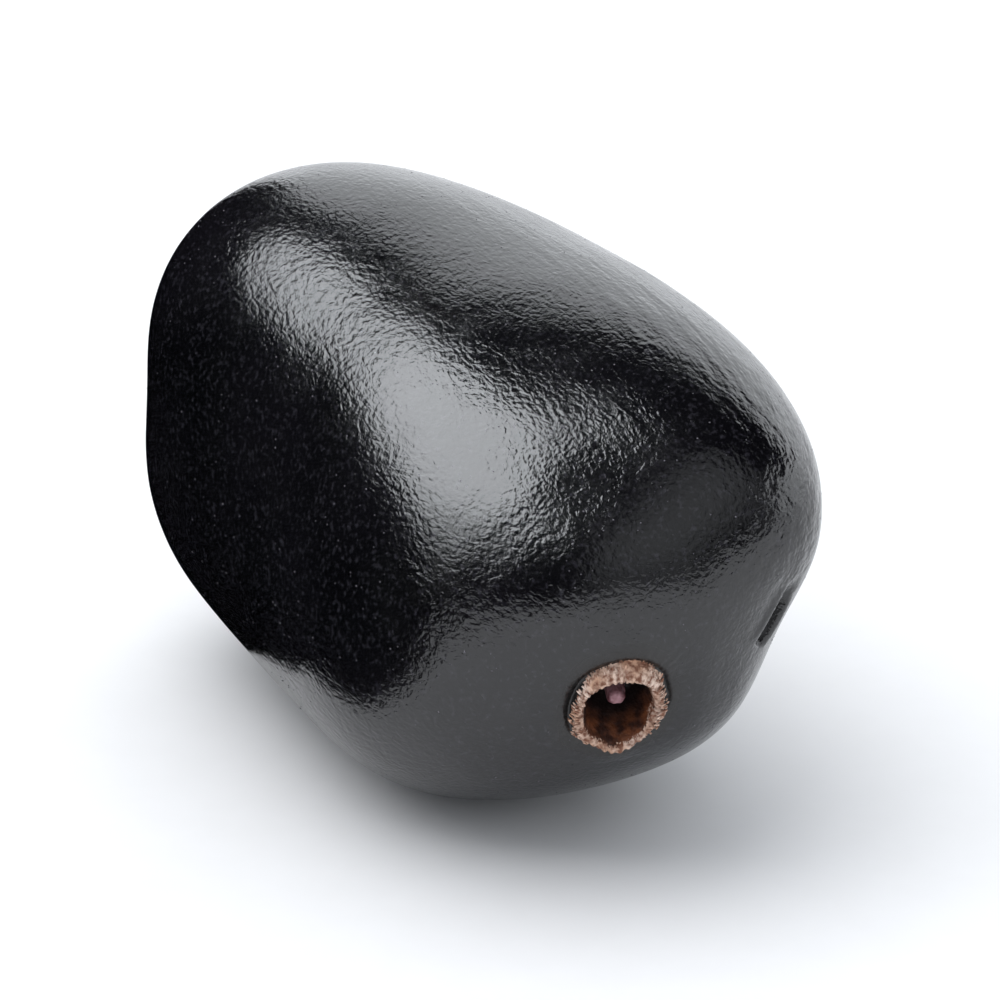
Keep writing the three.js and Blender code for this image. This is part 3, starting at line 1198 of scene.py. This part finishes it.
class JAMUN_OT_stage(bpy.types.Operator):
    """Lay the paper floor, hang the softbox, wall and fill, and set the camera"""

    bl_idname = "jamun.stage"
    bl_label = "Build Stage"

    def execute(self, context):
        studio = settings().studio
        a, e = studio.azimuth, studio.elevation
        right = Vector((math.cos(a), math.sin(a), 0))
        away = Vector((-math.sin(a), math.cos(a), 0))
        upright = Vector((0, 0, 1))
        ahead = away * math.cos(e) - upright * math.sin(e)
        above = away * math.sin(e) + upright * math.cos(e)
        middle = (Vector(FRUIT_BOX[0]) + Vector(FRUIT_BOX[1])) / 2

        floor = self.sheet("paper_floor", 3.0, 3.0, Vector((0, 0, 0)), Matrix.Identity(3))
        floor.data.materials.append(paper_material())

        # white walls behind and at the right, out of view, which edge the fruit with light
        facing = Matrix((right, upright, -away)).transposed()
        back = self.sheet("back_wall", 1.65, 0.95, away * 0.9 + right * 0.475 + upright * 0.475, facing)
        turned = Matrix((away, upright, right)).transposed()
        side = self.sheet("side_wall", 1.1, 0.42, right * 1.0 + away * 0.35 + upright * 0.21, turned)
        glow = self.glow("lit wall", studio.wall_radiance)
        back.data.materials.append(glow)
        side.data.materials.append(glow)

        def seen(across, towards, rise):
            return right * across - away * towards + upright * rise

        # the softbox is a large tilted panel up on the left, and a dim grey one stands at the front
        facing, bright = seen(*SOFTBOX_FACING).normalized(), seen(*SOFTBOX_BRIGHTEST)
        key = self.panel("key_softbox", middle, [seen(*c) for c in SOFTBOX_CORNERS], facing, 0.6)
        brightest = middle + bright * (0.6 / bright.dot(facing))
        key.data.materials.append(
            self.glow("lit softbox", studio.key_radiance, brightest, 0.24, 0.66, 0.25)
        )
        facing = seen(*GREY_FACING).normalized()
        grey = self.panel("grey_panel", middle, [seen(*c) for c in GREY_CORNERS], facing, 0.7)
        grey.data.materials.append(
            self.glow("dim panel", studio.grey_radiance, middle + facing * 0.7, 0.0, 0.85, 0.1)
        )

        # black card standing close on the left keeps that flank dark; the black sheet on the floor is
        # painted shade, standing in for shaded floor in the skin's gloss
        black = self.glow("black card", 0.0)
        posts = [(seen(x * MM, t * MM, 0), rise * MM) for x, t, rise in CARD_POSTS]
        card = self.fence("black_card", posts)
        card.data.materials.append(black)
        dark = self.polygon("painted_shade_sheet", [seen(x * MM, t * MM, 0.15 * MM) for x, t in PAINTED_SHADE_SHEET])
        dark.data.materials.append(black)

        # these four are seen only in the gloss of the skin
        for obj in (key, grey, card, dark):
            obj.visible_camera = False
            obj.visible_diffuse = False
            obj.visible_shadow = False

        overhead = upright - right * 0.45 + away * 0.2
        fill = self.softbox("overhead_fill", overhead, 1.0, 1.4, studio.fill_radiance)
        fill.visible_glossy = False

        world = bpy.data.worlds.new("dim room")
        world.use_nodes = True
        world.node_tree.nodes["Background"].inputs[0].default_value = (0.53, 0.545, 0.57, 1)
        world.cycles_visibility.glossy = False
        context.scene.world = world
        view = context.scene.view_settings
        view.view_transform = "Standard"
        view.look = "None"
        view.exposure = 0.0

        camera = bpy.data.cameras.new("camera")
        camera.sensor_width = 36
        camera.lens = 36 * studio.distance / studio.field
        camera.clip_start = 0.01
        camera.clip_end = 20
        eye = new_object("camera", camera)
        target = middle + right * 0.00084 - above * 0.00008
        eye.location = target - ahead * studio.distance
        eye.rotation_mode = "QUATERNION"
        eye.rotation_quaternion = ahead.to_track_quat("-Z", "Y")
        context.scene.camera = eye
        return {"FINISHED"}

    def polygon(self, name, points):
        """One flat face through these points."""
        mesh = bpy.data.meshes.new(name)
        mesh.from_pydata([tuple(p) for p in points], [], [tuple(range(len(points)))])
        return new_object(name, mesh)

    def sheet(self, name, width, height, centre, turn):
        """A flat rectangle of that width and height, turned and placed."""
        corners = [(-1, -1), (1, -1), (1, 1), (-1, 1)]
        points = [centre + turn @ Vector((x * width / 2, y * height / 2, 0)) for x, y in corners]
        return self.polygon(name, points)

    def panel(self, name, middle, corners, facing, distance):
        """A flat panel whose corners lie in these directions from the fruit, on a plane that faces it."""
        return self.polygon(name, [middle + c * (distance / c.dot(facing)) for c in corners])

    def fence(self, name, posts):
        """A standing card that follows posts on the floor, each with its own height."""
        foot = [place for place, _ in posts]
        top = [place + Vector((0, 0, height)) for place, height in posts]
        count = len(foot)
        faces = [(i, i + 1, count + i + 1, count + i) for i in range(count - 1)]
        mesh = bpy.data.meshes.new(name)
        mesh.from_pydata([tuple(p) for p in (*foot, *top)], [], faces)
        return new_object(name, mesh)

    def glow(self, name, strength, middle=(0, 0, 0), near=0.0, far=1.0, edge=1.0):
        """Cool white light from a surface, dimmer towards the edges when it is lit from its middle."""
        material, tree = new_material(name)
        place = add_node(tree, "ShaderNodeTexCoord").outputs["Object"]
        away = add_node(tree, "ShaderNodeVectorMath", {0: place, 1: tuple(middle)}, operation="DISTANCE")
        fading = add_node(
            tree,
            "ShaderNodeMapRange",
            {"Value": away.outputs["Value"], 1: near, 2: far, 3: strength, 4: strength * edge},
            interpolation_type="SMOOTHSTEP",
        )
        shader = add_node(
            tree, "ShaderNodeEmission", {"Color": (0.93, 0.965, 1.0, 1), "Strength": fading.outputs[0]}
        )
        finish_material(tree, shader)
        return material

    def softbox(self, name, direction, distance, size, radiance):
        """A square area light that faces the fruit."""
        lamp = bpy.data.lights.new(name, "AREA")
        lamp.shape = "SQUARE"
        lamp.size = size
        lamp.energy = radiance * math.pi * size * size
        obj = new_object(name, lamp)
        direction = direction.normalized()
        obj.location = Vector((0, 0, 0.01)) + direction * distance
        obj.rotation_mode = "QUATERNION"
        obj.rotation_quaternion = (-direction).to_track_quat("-Z", "Y")
        return obj


class JAMUN_PT_panel(bpy.types.Panel):
    """The steps that build the fruit and its studio"""

    bl_label = "Jamun"
    bl_idname = "JAMUN_PT_panel"
    bl_space_type = "VIEW_3D"
    bl_region_type = "UI"
    bl_category = "Jamun"

    def draw(self, context):
        for step in STEPS:
            self.layout.operator(step.bl_idname)
        for group in ("skin", "calyx", "scar", "studio"):
            box = self.layout.box()
            values = getattr(context.scene.jamun, group)
            for name in values.__annotations__:
                box.prop(values, name)


GROUPS = (JamunSkin, JamunCalyx, JamunScar, JamunStudio, JamunSettings)
STEPS = (JAMUN_OT_skin, JAMUN_OT_calyx, JAMUN_OT_specks, JAMUN_OT_stage)


def register():
    for item in (*GROUPS, *STEPS, JAMUN_PT_panel):
        bpy.utils.register_class(item)
    bpy.types.Scene.jamun = bpy.props.PointerProperty(type=JamunSettings)


def unregister():
    del bpy.types.Scene.jamun
    for item in reversed((*GROUPS, *STEPS, JAMUN_PT_panel)):
        bpy.utils.unregister_class(item)


def main():
    register()
    bpy.ops.jamun.skin()
    bpy.ops.jamun.calyx()
    bpy.ops.jamun.specks()
    bpy.ops.jamun.stage()


if __name__ == "__main__":
    main()
